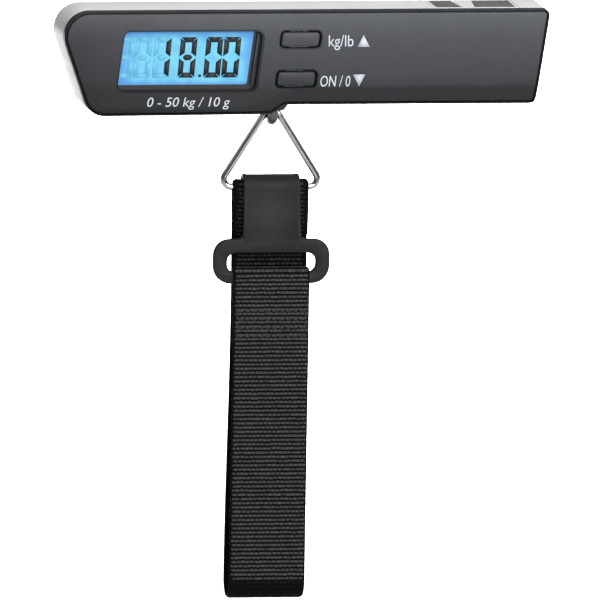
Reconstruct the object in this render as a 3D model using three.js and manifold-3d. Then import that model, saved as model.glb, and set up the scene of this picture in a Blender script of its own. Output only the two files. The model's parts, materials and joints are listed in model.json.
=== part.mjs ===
// Digital luggage scale: a handle bar with a display and a load cell inside, and a webbing strap
// with a hook buckle that hangs from a steel ring under the bar.
//
// Millimetres. +X runs along the bar to its square end, +Y to its back, +Z up.
// The origin is half way up the bar, on the vertical line that the load hangs from.
import * as THREE from "three";
import { mergeVertices } from "three/addons/utils/BufferGeometryUtils.js";
import Module from "manifold-3d";

const wasm = await Module();
wasm.setup();

// ---- Driving dimensions ----

const GAP = 0.3; // clearance between pieces that touch on the real object

const TOP = 16.9;
const LEFT_UNDERSIDE = -17;
const RIGHT_UNDERSIDE = -13.6;
const FRONT = -13;
const BACK = 13;
const SEAM = -9.4; // plane where the two case halves meet
const WALL = 1.8;

// Front outline of the bar, counter-clockwise: [x, z, corner radius].
const BAR_CORNERS = [
  [-60.9, LEFT_UNDERSIDE, 7.2],
  [-2, LEFT_UNDERSIDE + 0.4, 2.5],
  [2.2, RIGHT_UNDERSIDE, 2.5],
  [83.3, RIGHT_UNDERSIDE, 2],
  [87.9, TOP, 2],
  [-72.6, TOP, 8.3],
];

const LEAN = Math.tan(THREE.MathUtils.degToRad(7.2)); // slant of the window and the buttons
const WINDOW = { x: -28.5, z: 0.75, width: 44.6, height: 18.8, radius: 2 };
const BUTTON = { width: 13, height: 5.4, radius: 1.5 };
const BUTTON_PLACES = { unit_button: [7, 7.5], zero_button: [5.8, -5.2] };
const PANEL_THICKNESS = 1.2;
const PANEL_INSET = 0.6;

const SCREW_PLACES = [[-62, 7], [-57.6, -10], [81.4, 10.4], [79.4, -8.2]];
const BOSS_RADIUS = 2.2;
const POST_RADIUS = 2.9;
const BOSS_END = 4;
const CASE_SCREW = { head: 2.2, headDepth: 1.5, shank: 1.05, length: 13, pilot: 1.35, clearance: 1.4 };
const HEAD_WELL = 2.8;

const DISPLAY = { left: -53, right: -4.6, bottom: -9.2, top: 11.4, front: -9.5 };
const DISPLAY_GLASS = 1.6;
const DISPLAY_LIGHT = 1.6;
const BOARD = { left: -54.4, right: 18, bottom: -11, top: 13.2, front: -5.6, thickness: 1.2 };

const CELL = { left: -7.5, right: 50, bottom: -7, top: 5, halfDepth: 3.7 }; // load cell bar
const CELL_HOLES = [14, 30];
const CELL_SCREW_X = [38, 46];
const CELL_SCREW = { head: 3, headDepth: 2, shank: 1.6, length: 11, hole: 1.9 };
const BRACKET = { left: 33, right: 52, bottom: -8.5, top: 12.4, front: 4.1, thickness: 2 };
const BRACKET_SCREW_X = [37, 48];
const BRACKET_SCREW = { head: 2.4, headDepth: 1.6, shank: 1, length: 7 };
const BRACKET_POST = { radius: 2.6, pilot: 1.3, z: 9 };

const DOOR = { left: 50.4, right: 78.5, front: -8.2, back: 10.2, thickness: 1.8 };
const SCOOP = { radius: 9, apart: 22, above: 1.6 };
const COIN = { x: 64.8, y: 1.7, z: 3, radius: 10, thickness: 3.2 };

const PIVOT_Z = -17; // axis that the ring swings about
const RING_WIRE = 1.1;
const RING_BAR_Z = PIVOT_Z - 24.6; // straight lower side of the ring
const EYE = { wire: 1.6, radius: 3.4, shank: 2 };
const EYE_Z = PIVOT_Z - RING_WIRE - GAP - EYE.wire + EYE.radius;
const SHROUD = { halfDepth: 6.8, bottom: -16.2, top: -11.4 };

const WEB_WIDTH = 24.5;
const WEB = 1.4; // webbing thickness
const WEB_LINE = RING_WIRE + GAP + WEB / 2; // centre line of the webbing around the ring bar
const FOLD_Z = -168.3;
const FOLD_RADIUS = 5.5;
const SLACK_TOP = -96; // below here the back run can gather when the buckle is lifted

const TONGUE_WIDTH = 18.3;
const TONGUE = 1.3;
const TONGUE_LINE = WEB_LINE + WEB / 2 + GAP + TONGUE / 2;
const BUCKLE = { width: 37.8, top: -57.8, bottom: -72.3, front: -5, back: -3.1 };
const SLOT = { width: 28.6, top: -62.4, bottom: -68.5 };

// ---- Geometry helpers ----

// The corner's place as a vector, its directions to both neighbours, its half angle and its bend.
function cornerFrame(corners, index) {
  const place = new THREE.Vector2(...corners[index]);
  const toward = (other) => new THREE.Vector2(...other).sub(place).normalize();
  const toBefore = toward(corners.at(index - 1));
  const toAfter = toward(corners[(index + 1) % corners.length]);
  return {
    place,
    toBefore,
    toAfter,
    bisector: toBefore.clone().add(toAfter).normalize(),
    halfAngle: Math.acos(toBefore.dot(toAfter)) / 2,
    concave: toBefore.cross(toAfter) > 0,
  };
}

// A closed outline through counter-clockwise [x, y, radius] corners, each rounded by its radius.
function roundedOutline(corners) {
  const shape = new THREE.Shape();
  corners.forEach(([, , radius], index) => {
    const { place, toBefore, toAfter, bisector, halfAngle, concave } = cornerFrame(corners, index);
    const centre = place.clone().addScaledVector(bisector, radius / Math.sin(halfAngle));
    const reach = radius / Math.tan(halfAngle);
    const start = place.clone().addScaledVector(toBefore, reach).sub(centre);
    const end = place.clone().addScaledVector(toAfter, reach).sub(centre);
    shape.absarc(centre.x, centre.y, radius, start.angle(), end.angle(), concave);
  });
  shape.closePath();
  return shape;
}

// The same corners moved inwards by a distance, with their radii kept concentric.
function insetCorners(corners, inset) {
  return corners.map(([, , radius], index) => {
    const { place, bisector, halfAngle, concave } = cornerFrame(corners, index);
    const inward = concave ? -1 : 1;
    place.addScaledVector(bisector, (inward * inset) / Math.sin(halfAngle));
    return [place.x, place.y, Math.max(radius - inward * inset, 0.3)];
  });
}

// A rectangle in the X-Z plane whose upright sides lean to the right, grown by a margin.
function leaningRectangle({ x, z, width, height, radius }, margin = 0) {
  const [halfWidth, halfHeight] = [width / 2, height / 2];
  const corner = (side, level) => [
    x + side * halfWidth + level * halfHeight * LEAN,
    z + level * halfHeight,
    radius,
  ];
  const corners = [corner(-1, -1), corner(1, -1), corner(1, 1), corner(-1, 1)];
  return roundedOutline(insetCorners(corners, -margin));
}

// Extrudes an X-Z outline from one Y to another.
function frontPrism(shape, front, back) {
  const options = { depth: back - front, bevelEnabled: false, curveSegments: 4 };
  return new THREE.ExtrudeGeometry(shape, options).rotateX(Math.PI / 2).translate(0, back, 0);
}

// Extrudes a Y-Z outline along X, centred on X = 0.
function sidePrism(shape, width) {
  const toYZ = new THREE.Matrix4().makeBasis(
    new THREE.Vector3(0, 1, 0),
    new THREE.Vector3(0, 0, 1),
    new THREE.Vector3(1, 0, 0),
  );
  const options = { depth: width, bevelEnabled: false };
  const geometry = new THREE.ExtrudeGeometry(shape, options).applyMatrix4(toYZ);
  return geometry.translate(-width / 2, 0, 0);
}

// A band of even thickness along a Y-Z path, as a closed outline.
function bandOutline(path, thickness, arcSteps = 8) {
  const line = path.getPoints(arcSteps);
  const side = (offset) =>
    line.map((point, index) => {
      const before = point.clone().sub(line[Math.max(index - 1, 0)]).normalize();
      const after = line[Math.min(index + 1, line.length - 1)].clone().sub(point).normalize();
      const along = before.clone().add(after).normalize();
      const mitre = offset / Math.max(along.dot(index ? before : after), 0.5);
      return new THREE.Vector2(point.x - along.y * mitre, point.y + along.x * mitre);
    });
  const outline = [...side(-thickness / 2), ...side(thickness / 2).reverse()];
  return new THREE.Shape(outline);
}

function block(x0, x1, y0, y1, z0, z1) {
  const box = new THREE.BoxGeometry(x1 - x0, y1 - y0, z1 - z0);
  return box.translate((x0 + x1) / 2, (y0 + y1) / 2, (z0 + z1) / 2);
}

// A cylinder along Y, and one along Z.
function peg(radius, y0, y1, x, z, sides = 20) {
  return new THREE.CylinderGeometry(radius, radius, y1 - y0, sides).translate(x, (y0 + y1) / 2, z);
}

function column(radius, z0, z1, x, y, sides = 24) {
  const cylinder = new THREE.CylinderGeometry(radius, radius, z1 - z0, sides);
  return cylinder.rotateX(Math.PI / 2).translate(x, y, (z0 + z1) / 2);
}

// A round, eight-sided tube along a smooth line through points.
function tube(points, radius, steps) {
  const line = new THREE.CatmullRomCurve3(points.map((point) => new THREE.Vector3(...point)));
  const section = new THREE.Shape();
  section.absarc(0, 0, radius, 0, 2 * Math.PI, false);
  const options = { extrudePath: line, steps, curveSegments: 4 };
  return new THREE.ExtrudeGeometry(section, options);
}

function solid(geometry) {
  const bare = new THREE.BufferGeometry();
  bare.setAttribute("position", geometry.getAttribute("position"));
  bare.setIndex(geometry.getIndex());
  const merged = mergeVertices(bare);
  return new wasm.Manifold(
    new wasm.Mesh({
      numProp: 3,
      vertProperties: new Float32Array(merged.getAttribute("position").array),
      triVerts: new Uint32Array(merged.getIndex().array),
    }),
  );
}

function surface(manifold) {
  const mesh = manifold.getMesh();
  const geometry = new THREE.BufferGeometry();
  geometry.setAttribute("position", new THREE.BufferAttribute(mesh.vertProperties, 3));
  geometry.setIndex(new THREE.BufferAttribute(mesh.triVerts, 1));
  return geometry;
}

// Joins the added geometries to the first one, then takes the cut ones away.
function carve(base, { add = [], cut = [] }) {
  const joined = add.reduce((whole, piece) => whole.add(solid(piece)), solid(base));
  return surface(cut.reduce((whole, tool) => whole.subtract(solid(tool)), joined));
}

// ---- Materials and the scene graph ----

const finish = (color, roughness, metalness = 0) =>
  new THREE.MeshStandardMaterial({ color, roughness, metalness });

const MATERIALS = {
  silver: finish(0xd6d8da, 0.38, 0.15),
  charcoal: finish(0x54575c, 0.45),
  black: finish(0x151517, 0.5),
  glass: finish(0x86c8f5, 0.15),
  diffuser: finish(0xe4edf5, 0.6),
  rubber: finish(0x2b2b2d, 0.8),
  board: finish(0x1d6b3c, 0.55),
  epoxy: finish(0x0f0f10, 0.35),
  aluminium: finish(0xb9bcc0, 0.4, 0.9),
  steel: finish(0xc9cbce, 0.25, 1),
  foil: finish(0xd9a34a, 0.4, 0.5),
  buckle: finish(0x3b3c3e, 0.5),
  webbing: finish(0x1c1c1e, 0.9),
  redWire: finish(0xb02020, 0.6),
  blackWire: finish(0x161616, 0.6),
};

const scale = new THREE.Group();

function addPiece(name, geometry, material) {
  const mesh = new THREE.Mesh(geometry, material);
  mesh.name = name;
  scale.add(mesh);
}

// ---- Case ----

function rearShell() {
  const outer = frontPrism(roundedOutline(BAR_CORNERS), SEAM + GAP / 2, BACK);
  const inside = roundedOutline(insetCorners(BAR_CORNERS, WALL));
  const posts = SCREW_PLACES.map(([x, z]) => peg(POST_RADIUS, BOSS_END + GAP, BACK - 1, x, z));
  const bracketPosts = BRACKET_SCREW_X.map((x) =>
    peg(BRACKET_POST.radius, BRACKET.front + BRACKET.thickness + GAP, BACK - 1, x, BRACKET_POST.z),
  );
  const shell = carve(outer, { cut: [frontPrism(inside, SEAM - 1, BACK - WALL)] });
  const holes = SCREW_PLACES.flatMap(([x, z]) => [
    peg(CASE_SCREW.clearance, BOSS_END - 1, BACK + 1, x, z),
    peg(POST_RADIUS - GAP, BACK - HEAD_WELL, BACK + 1, x, z),
  ]);
  return carve(shell, {
    add: [...posts, ...bracketPosts],
    cut: [
      ...holes,
      ...BRACKET_SCREW_X.map((x) => peg(BRACKET_POST.pilot, BRACKET.front, BACK - 3, x, BRACKET_POST.z)),
      block(-7.4, 6, -SHROUD.halfDepth - GAP, SHROUD.halfDepth + GAP, -20, SHROUD.top + 1),
      block(DOOR.left, DOOR.right, DOOR.front, DOOR.back, TOP - WALL - 1, TOP + 1),
    ],
  });
}

function frontCover() {
  const outer = frontPrism(roundedOutline(BAR_CORNERS), FRONT, SEAM - GAP / 2);
  const recess = roundedOutline(insetCorners(BAR_CORNERS, PANEL_INSET));
  const inside = roundedOutline(insetCorners(BAR_CORNERS, WALL));
  const floor = FRONT + PANEL_THICKNESS + GAP;
  const tray = carve(outer, {
    cut: [
      frontPrism(recess, FRONT - 1, floor),
      frontPrism(inside, floor + 1.6, SEAM + 1),
      frontPrism(leaningRectangle(WINDOW), FRONT, SEAM),
      ...Object.values(BUTTON_PLACES).map(([x, z]) =>
        frontPrism(leaningRectangle({ x, z, ...BUTTON }), FRONT, SEAM),
      ),
    ],
  });
  return carve(tray, {
    add: SCREW_PLACES.map(([x, z]) => peg(BOSS_RADIUS, floor + 1, BOSS_END, x, z)),
    cut: SCREW_PLACES.map(([x, z]) => peg(CASE_SCREW.pilot, floor + 3, BOSS_END + 1, x, z)),
  });
}

function facePanel() {
  const sheet = roundedOutline(insetCorners(BAR_CORNERS, PANEL_INSET + GAP));
  sheet.holes.push(leaningRectangle(WINDOW));
  for (const [x, z] of Object.values(BUTTON_PLACES)) {
    sheet.holes.push(leaningRectangle({ x, z, ...BUTTON }));
  }
  return frontPrism(sheet, FRONT, FRONT + PANEL_THICKNESS);
}

function batteryCover() {
  const { left, right, front, back, thickness } = DOOR;
  const bottom = TOP - thickness;
  const plate = block(left + GAP, right - GAP, front + GAP, back - GAP, bottom, TOP);
  const middle = (left + right) / 2;
  const scoop = (side) => {
    const ball = new THREE.SphereGeometry(SCOOP.radius, 20, 14).scale(1, 0.8, 0.3);
    return ball.translate(middle + (side * SCOOP.apart) / 2, (front + back) / 2, TOP + SCOOP.above);
  };
  return carve(plate, { cut: [scoop(-1), scoop(1)] });
}

addPiece("rear_shell", rearShell(), MATERIALS.silver);
addPiece("front_cover", frontCover(), MATERIALS.charcoal);
addPiece("face_panel", facePanel(), MATERIALS.charcoal);
addPiece("battery_cover", batteryCover(), MATERIALS.silver);

// A screw along Y: a flat head with a cross in its outer face and a plain shank toward -1 or 1.
function screw(x, z, headBack, { head, headDepth, shank, length }, toward = -1) {
  const headFront = headBack + toward * headDepth;
  const tip = headBack + toward * length;
  const slot = (width, height) => {
    const depth = headBack + toward * headDepth * 0.55;
    const [y0, y1] = [depth, headBack - toward].sort((a, b) => a - b);
    return block(x - width, x + width, y0, y1, z - height, z + height);
  };
  const [y0, y1] = [headBack, headFront].sort((a, b) => a - b);
  const [s0, s1] = [headFront - toward * 0.2, tip].sort((a, b) => a - b);
  return carve(peg(head, y0, y1, x, z), {
    add: [peg(shank, s0, s1, x, z, 12)],
    cut: [slot(head * 0.62, 0.28), slot(0.28, head * 0.62)],
  });
}

SCREW_PLACES.forEach(([x, z], index) => {
  const geometry = screw(x, z, BACK - 1, CASE_SCREW);
  addPiece(`case_screw_${index + 1}`, geometry, MATERIALS.steel);
});

// ---- Display, buttons and circuit board ----

function displayFrame() {
  const { left, right, bottom, top, front } = DISPLAY;
  const back = BOARD.front - GAP;
  const rim = 1.2;
  const outer = block(left - rim, right + rim, front, back, bottom - rim, top + rim);
  return carve(outer, {
    cut: [block(left - GAP, right + GAP, front - 1, back + 1, bottom - GAP, top + GAP)],
  });
}

function buttonCap([x, z]) {
  const cap = leaningRectangle({ x, z, ...BUTTON }, -GAP);
  return carve(frontPrism(cap, FRONT - 0.1, FRONT + 3.4), {
    add: [peg(1.5, FRONT + 3, FRONT + 4.1, x, z)],
  });
}

function boardGeometry() {
  const { left, right, bottom, top, front, thickness } = BOARD;
  return carve(block(left, right, front, front + thickness, bottom, top), {
    cut: [[-45, -9.8], [14.6, -8.6], [14.6, 11]].map(([x, z]) => peg(1.1, front - 1, front + 3, x, z)),
  });
}

function tactSwitch([x, z]) {
  const back = BOARD.front - GAP;
  const body = block(x - 3, x + 3, back - 2.1, back, z - 3, z + 3);
  return carve(body, { add: [peg(1.6, FRONT + 4.6, back - 2, x, z)] });
}

const lightFront = DISPLAY.front + DISPLAY_GLASS + GAP;
const { left, right, bottom, top, front } = DISPLAY;
const zebraTop = bottom + 1.8;
const displayGlass = block(left, right, front, front + DISPLAY_GLASS, bottom, top);
const lightGuide = block(left, right, lightFront, lightFront + DISPLAY_LIGHT, zebraTop + GAP, top);
const zebra = block(left + 2, right - 2, lightFront, BOARD.front - GAP, bottom, zebraTop);
addPiece("display_glass", displayGlass, MATERIALS.glass);
addPiece("backlight_panel", lightGuide, MATERIALS.diffuser);
addPiece("display_frame", displayFrame(), MATERIALS.black);
addPiece("zebra_connector", zebra, MATERIALS.rubber);
addPiece("main_board", boardGeometry(), MATERIALS.board);
for (const [name, place] of Object.entries(BUTTON_PLACES)) {
  addPiece(name, buttonCap(place), MATERIALS.charcoal);
  addPiece(name.replace("button", "switch"), tactSwitch(place), MATERIALS.steel);
}

const boardBack = BOARD.front + BOARD.thickness;
const domeProfile = [[0, 0], [5.5, 0], [5.5, 0.6], [4.7, 1.4], [2.7, 2], [0, 2.2]];
const chipDome = new THREE.LatheGeometry(domeProfile.map(([r, y]) => new THREE.Vector2(r, y)), 24);
chipDome.translate(-30, boardBack + GAP, 2);
addPiece("controller_chip", chipDome, MATERIALS.epoxy);

// ---- Load cell and its steel parts ----

function loadCell() {
  const { left: start, right: end, bottom: low, top: high, halfDepth } = CELL;
  const middle = (low + high) / 2;
  return carve(block(start, end, -halfDepth, halfDepth, low, high), {
    cut: [
      ...CELL_HOLES.map((x) => peg(4.4, -halfDepth - 1, halfDepth + 1, x, middle, 24)),
      block(CELL_HOLES[0], CELL_HOLES[1], -halfDepth - 1, halfDepth + 1, middle - 1, middle + 1),
      column(EYE.shank + GAP, low - 1, high + 1, 0, 0),
      ...CELL_SCREW_X.map((x) => peg(CELL_SCREW.hole, -halfDepth - 1, halfDepth + 1, x, middle, 16)),
    ],
  });
}

function cellBracket() {
  const { left: start, right: end, bottom: low, top: high, front: face, thickness } = BRACKET;
  const hole = (x, z) => peg(CELL_SCREW.hole, face - 1, face + thickness + 1, x, z, 16);
  const middle = (CELL.bottom + CELL.top) / 2;
  return carve(block(start, end, face, face + thickness, low, high), {
    cut: [...CELL_SCREW_X.map((x) => hole(x, middle)), ...BRACKET_SCREW_X.map((x) => hole(x, BRACKET_POST.z))],
  });
}

function hookEye() {
  const ring = new THREE.TorusGeometry(EYE.radius, EYE.wire, 12, 32).rotateY(Math.PI / 2);
  const neck = EYE_Z + EYE.radius;
  return carve(ring.translate(0, 0, EYE_Z), {
    add: [
      column(EYE.shank, neck, CELL.top + 5.6, 0, 0),
      column(3.6, CELL.bottom - GAP - 1.6, CELL.bottom - GAP, 0, 0),
    ],
  });
}

function hexNut(bottomZ, height) {
  const hexagon = column(4.04, bottomZ, bottomZ + height, 0, 0, 6);
  return carve(hexagon, { cut: [column(EYE.shank + GAP, bottomZ - 1, bottomZ + height + 1, 0, 0)] });
}

function hookShroud() {
  const { halfDepth, bottom: low, top: high } = SHROUD;
  const sides = roundedOutline([
    [-6.4, low, 0.8],
    [2.9, low, 0.8],
    [4.7, RIGHT_UNDERSIDE - 0.6, 0.4],
    [4.7, high, 0.4],
    [-6.4, high, 0.4],
  ]);
  const eyeWay = block(-2.2, 2.2, -5.5, 5.5, low - 1, high + 1);
  return carve(frontPrism(sides, -halfDepth, halfDepth), { cut: [eyeWay] });
}

addPiece("load_cell", loadCell(), MATERIALS.aluminium);
addPiece("cell_bracket", cellBracket(), MATERIALS.steel);
CELL_SCREW_X.forEach((x, index) => {
  const headBack = BRACKET.front + BRACKET.thickness + GAP + CELL_SCREW.headDepth;
  const geometry = screw(x, (CELL.bottom + CELL.top) / 2, headBack, CELL_SCREW);
  addPiece(`cell_screw_${index + 1}`, geometry, MATERIALS.steel);
});
BRACKET_SCREW_X.forEach((x, index) => {
  const headFront = BRACKET.front - GAP - BRACKET_SCREW.headDepth;
  const geometry = screw(x, BRACKET_POST.z, headFront, BRACKET_SCREW, 1);
  addPiece(`bracket_screw_${index + 1}`, geometry, MATERIALS.steel);
});
const gaugeCentre = (CELL_HOLES[0] + CELL_HOLES[1]) / 2;
const gauge = (z) => block(gaugeCentre - 4, gaugeCentre + 4, -2.4, 2.4, z, z + 0.4);
addPiece("strain_gauge_top", gauge(CELL.top + GAP), MATERIALS.foil);
addPiece("strain_gauge_bottom", gauge(CELL.bottom - GAP - 0.4), MATERIALS.foil);
addPiece("hook_eye", hookEye(), MATERIALS.steel);
const washer = carve(column(4, CELL.top + GAP, CELL.top + GAP + 0.6, 0, 0), {
  cut: [column(EYE.shank + GAP, CELL.top, CELL.top + 3, 0, 0)],
});
addPiece("eye_washer", washer, MATERIALS.steel);
addPiece("eye_nut", hexNut(CELL.top + 2 * GAP + 0.6, 3.2), MATERIALS.steel);
addPiece("hook_shroud", hookShroud(), MATERIALS.black);

// ---- Battery ----

function batteryHolder() {
  const { x, y, z, radius, thickness } = COIN;
  const pocket = radius + 0.5;
  const [low, high] = [z - pocket, z + radius - 1];
  const [face, rear] = [y - thickness / 2 - 0.9, y + thickness / 2 + 0.9];
  const cradle = block(x - pocket - 0.9, x + pocket + 0.9, face - 0.9, rear + 0.9, low - 0.9, high);
  return carve(cradle, { cut: [block(x - pocket, x + pocket, face, rear, low, high + 1)] });
}

const coinFace = COIN.y - COIN.thickness / 2;
const coinRear = COIN.y + COIN.thickness / 2;
const coin = peg(COIN.radius, coinFace, coinRear, COIN.x, COIN.z, 40);
const contact = (y) => block(COIN.x - 3, COIN.x + 3, y, y + 0.3, COIN.z - 9, COIN.z + 10.6);
addPiece("battery_holder", batteryHolder(), MATERIALS.black);
addPiece("coin_cell", coin, MATERIALS.steel);
addPiece("battery_contact_negative", contact(coinFace - 0.6), MATERIALS.steel);
addPiece("battery_contact_positive", contact(coinRear + 0.3), MATERIALS.steel);

// Leads from the battery contacts, and from the strain gauges, to the back of the board.
const leadEnd = boardBack + 0.8;
const redLead = [[61, 4.2, 14], [52, 6.4, 13.6], [34, 2, 13.6], [22, 0, 13.4], [12, leadEnd, 12]];
const blackLead = [[61, -0.8, 14], [52, -2.5, 13.2], [30, -2.5, 10.6], [12, leadEnd, 9]];
const gaugeLead = [[16, 0, 6.6], [13, 0, 8], [9, -1.6, 8], [5, leadEnd, 7]];
addPiece("battery_lead_positive", tube(redLead, 0.55, 16), MATERIALS.redWire);
addPiece("battery_lead_negative", tube(blackLead, 0.55, 16), MATERIALS.blackWire);
addPiece("gauge_lead", tube(gaugeLead, 0.5, 12), MATERIALS.rubber);

// ---- Ring ----

function ringWire() {
  const halfApex = THREE.MathUtils.degToRad(33);
  const apexRadius = 3;
  const apexZ = PIVOT_Z + apexRadius * (1 / Math.sin(halfApex) - 1);
  const halfBase = (apexZ - RING_BAR_Z) * Math.tan(halfApex);
  const outline = roundedOutline([
    [-halfBase, RING_BAR_Z, 2.5],
    [halfBase, RING_BAR_Z, 2.5],
    [0, apexZ, apexRadius],
  ]);
  const line = new THREE.Curve();
  line.getPoint = (t, target = new THREE.Vector3()) => {
    const point = outline.getPointAt(t);
    return target.set(point.x, 0, point.y);
  };
  return new THREE.TubeGeometry(line, 72, RING_WIRE, 10, true);
}

addPiece("triangle_ring", ringWire(), MATERIALS.steel);

// ---- Strap and buckle ----

const BACK_RUN_TOP = -56.9; // the sewn loop around the ring bar ends here
const RUN_Y = -0.1; // the back run hangs under the ring bar
const slackBottom = FOLD_Z + GAP;

function backRun() {
  const pinch = WEB / 2 + GAP / 2;
  const path = new THREE.Path();
  path.moveTo(-pinch + 0.1, BACK_RUN_TOP);
  const [gatherLow, gatherHigh] = [RING_BAR_Z - 9.3, RING_BAR_Z - 7.3];
  path.bezierCurveTo(-pinch, gatherLow, -WEB_LINE, gatherHigh, -WEB_LINE, RING_BAR_Z);
  path.absarc(0, RING_BAR_Z, WEB_LINE, Math.PI, 0, true);
  path.bezierCurveTo(WEB_LINE, gatherHigh, pinch, gatherLow, pinch, BACK_RUN_TOP);
  path.bezierCurveTo(pinch, BACK_RUN_TOP - 8, RUN_Y, BACK_RUN_TOP - 10, RUN_Y, BACK_RUN_TOP - 22);
  path.lineTo(RUN_Y, SLACK_TOP);
  return sidePrism(bandOutline(path, WEB), WEB_WIDTH);
}

function slackRun() {
  const path = new THREE.Path();
  path.moveTo(RUN_Y, SLACK_TOP - GAP);
  path.bezierCurveTo(RUN_Y, SLACK_TOP - 23, FOLD_RADIUS, SLACK_TOP - 33, FOLD_RADIUS, slackBottom);
  return sidePrism(bandOutline(path, WEB), WEB_WIDTH);
}

function fold() {
  const path = new THREE.Path();
  path.absarc(0, FOLD_Z, FOLD_RADIUS, 0, -Math.PI, true);
  return sidePrism(bandOutline(path, WEB, 10), WEB_WIDTH);
}

// Up from the fold, over the buckle's lower bar and down behind it to the stitching.
function frontRun() {
  const barY = (BUCKLE.front + BUCKLE.back) / 2;
  const reach = (BUCKLE.back - BUCKLE.front) / 2 + GAP + WEB / 2;
  const path = new THREE.Path();
  path.moveTo(-FOLD_RADIUS, FOLD_Z + GAP);
  path.lineTo(barY - reach, BUCKLE.bottom - 6);
  const over = SLOT.bottom - 2 * GAP; // the bar's square edges lie inside the bend
  path.lineTo(barY - reach, over);
  path.absarc(barY, over, reach, Math.PI, 0, true);
  path.lineTo(barY + reach, BUCKLE.bottom);
  const sewnY = barY - 0.9; // the end is sewn to the back of the run from here down
  const [leave, meet] = [BUCKLE.bottom - 5, BUCKLE.bottom - 7];
  path.bezierCurveTo(barY + reach, leave, sewnY, meet, sewnY, BUCKLE.bottom - 17);
  return sidePrism(bandOutline(path, WEB), WEB_WIDTH);
}

function hookBuckle() {
  const { width, top: high, bottom: low, front: face, back: rear } = BUCKLE;
  const half = width / 2;
  const neck = TONGUE_WIDTH / 2;
  const loop = roundedOutline([
    [-half, low, 5],
    [half, low, 5],
    [half, high, 4.5],
    [neck + 3, high, 0.6],
    [neck + 1.2, high + 4, 1.5],
    [-neck - 1.2, high + 4, 1.5],
    [-neck - 3, high, 0.6],
    [-half, high, 4.5],
  ]);
  loop.holes.push(
    roundedOutline([
      [-SLOT.width / 2, SLOT.bottom, 1.6],
      [SLOT.width / 2, SLOT.bottom, 1.6],
      [SLOT.width / 2, SLOT.top, 1.6],
      [-SLOT.width / 2, SLOT.top, 1.6],
    ]),
  );
  const path = new THREE.Path();
  path.moveTo(-TONGUE_LINE, high + 2);
  path.lineTo(-TONGUE_LINE, RING_BAR_Z);
  path.absarc(0, RING_BAR_Z, TONGUE_LINE, Math.PI, 0, true);
  path.lineTo(TONGUE_LINE, RING_BAR_Z - 3.2);
  const tongue = sidePrism(bandOutline(path, TONGUE), TONGUE_WIDTH);
  return carve(frontPrism(loop, face, rear), { add: [tongue] });
}

addPiece("webbing_back_run", backRun(), MATERIALS.webbing);
addPiece("webbing_slack_run", slackRun(), MATERIALS.webbing);
addPiece("webbing_fold", fold(), MATERIALS.webbing);
addPiece("webbing_front_run", frontRun(), MATERIALS.webbing);
addPiece("hook_buckle", hookBuckle(), MATERIALS.buckle);

export default scale;
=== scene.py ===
"""The looks of a digital luggage scale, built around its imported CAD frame.

Helper sizes are in millimetres and are turned into metres where a mesh is made. The frame's axes are kept:
+X along the bar to its square end, +Y to its back, +Z up.
"""

import json
import math

import bmesh
import bpy
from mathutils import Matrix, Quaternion, Vector, noise


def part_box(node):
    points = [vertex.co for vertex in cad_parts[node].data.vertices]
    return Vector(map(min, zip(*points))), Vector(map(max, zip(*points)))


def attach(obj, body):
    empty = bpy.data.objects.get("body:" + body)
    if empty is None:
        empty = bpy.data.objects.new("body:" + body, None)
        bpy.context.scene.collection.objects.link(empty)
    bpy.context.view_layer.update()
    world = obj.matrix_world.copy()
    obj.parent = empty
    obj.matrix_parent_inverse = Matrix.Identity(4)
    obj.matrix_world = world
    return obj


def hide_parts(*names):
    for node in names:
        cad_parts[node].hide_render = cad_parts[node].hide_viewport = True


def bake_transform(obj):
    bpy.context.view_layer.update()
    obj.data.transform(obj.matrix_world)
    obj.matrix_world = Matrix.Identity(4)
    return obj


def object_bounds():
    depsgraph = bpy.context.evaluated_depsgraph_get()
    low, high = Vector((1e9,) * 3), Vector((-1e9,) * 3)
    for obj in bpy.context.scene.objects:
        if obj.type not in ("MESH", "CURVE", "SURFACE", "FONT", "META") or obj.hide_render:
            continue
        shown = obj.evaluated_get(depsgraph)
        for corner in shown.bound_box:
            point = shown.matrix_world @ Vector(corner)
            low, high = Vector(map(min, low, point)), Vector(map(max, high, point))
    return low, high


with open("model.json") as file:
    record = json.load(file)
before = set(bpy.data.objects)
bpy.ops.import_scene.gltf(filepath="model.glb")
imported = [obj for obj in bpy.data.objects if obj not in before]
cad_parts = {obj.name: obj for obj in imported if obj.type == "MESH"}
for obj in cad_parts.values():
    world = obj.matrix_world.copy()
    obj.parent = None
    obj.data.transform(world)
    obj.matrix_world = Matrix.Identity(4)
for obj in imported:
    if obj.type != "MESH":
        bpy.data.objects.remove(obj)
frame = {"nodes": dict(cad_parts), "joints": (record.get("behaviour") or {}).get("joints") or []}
cad_low, cad_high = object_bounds()

MM = 0.001
GAP = 0.3  # clearance that the CAD frame keeps between its pieces

# ---- Sizes that the CAD frame gives, in millimetres ----


def box_mm(node):
    low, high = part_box(node)
    return [value / MM for value in low], [value / MM for value in high]


SHELL_LOW, SHELL_HIGH = box_mm("rear_shell")
COVER_LOW, _ = box_mm("front_cover")
PANEL_BACK = box_mm("face_panel")[1][1]
TOP = SHELL_HIGH[2]
BACK = SHELL_HIGH[1]
FRONT = COVER_LOW[1]
UNDERSIDE = COVER_LOW[2]
RIGHT_UNDERSIDE = -13.6
SEAM_FRONT = SHELL_LOW[1]
SEAM_BACK = SEAM_FRONT - GAP
JOINTS = {joint["name"]: joint for joint in frame["joints"]}
PIVOT_Z = JOINTS["ring_swing"]["pos_m"][2] / MM
RING_BAR_Z = JOINTS["strap_swing"]["pos_m"][2] / MM

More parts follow.
